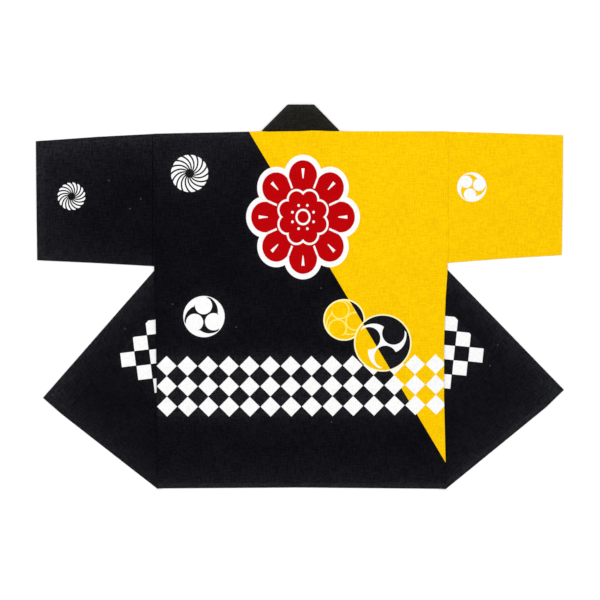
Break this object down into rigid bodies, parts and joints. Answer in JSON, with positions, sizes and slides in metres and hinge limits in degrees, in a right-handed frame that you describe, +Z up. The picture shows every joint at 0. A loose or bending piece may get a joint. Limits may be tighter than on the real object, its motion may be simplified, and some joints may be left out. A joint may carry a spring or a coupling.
{
  "type": "happi coat",
  "caption": "Hip-length open-front festival coat with straight sleeves and a band collar, laid flat with its back up and its fronts turned outward underneath.",
  "frame": {"origin": "middle of the garment's outline, on the surface it lies on", "axes": "+X from the wearer's left sleeve to the right one, +Y from the hem to the neck, +Z up out of the back"},
  "size_m": [1.1867, 0.8638, 0.008],
  "materials": {
    "printed_cotton": "matt plain-weave cotton, printed black and yellow with a slanting boundary, roundels, a flower medallion and a band of checks",
    "black_cotton": "matt plain-weave cotton, dyed near black, with white printed roundels on the sleeve and checks on the fronts",
    "yellow_cotton": "matt plain-weave cotton, printed deep yellow with one white roundel",
    "collar_cotton": "matt near-black cotton, folded double and stitched"
  },
  "bodies": {
    "root": {"back": "printed_cotton", "front_left": "black_cotton", "front_right": "black_cotton", "sleeve_left": "black_cotton", "sleeve_right": "yellow_cotton", "collar": "collar_cotton"}
  },
  "joints": []
}
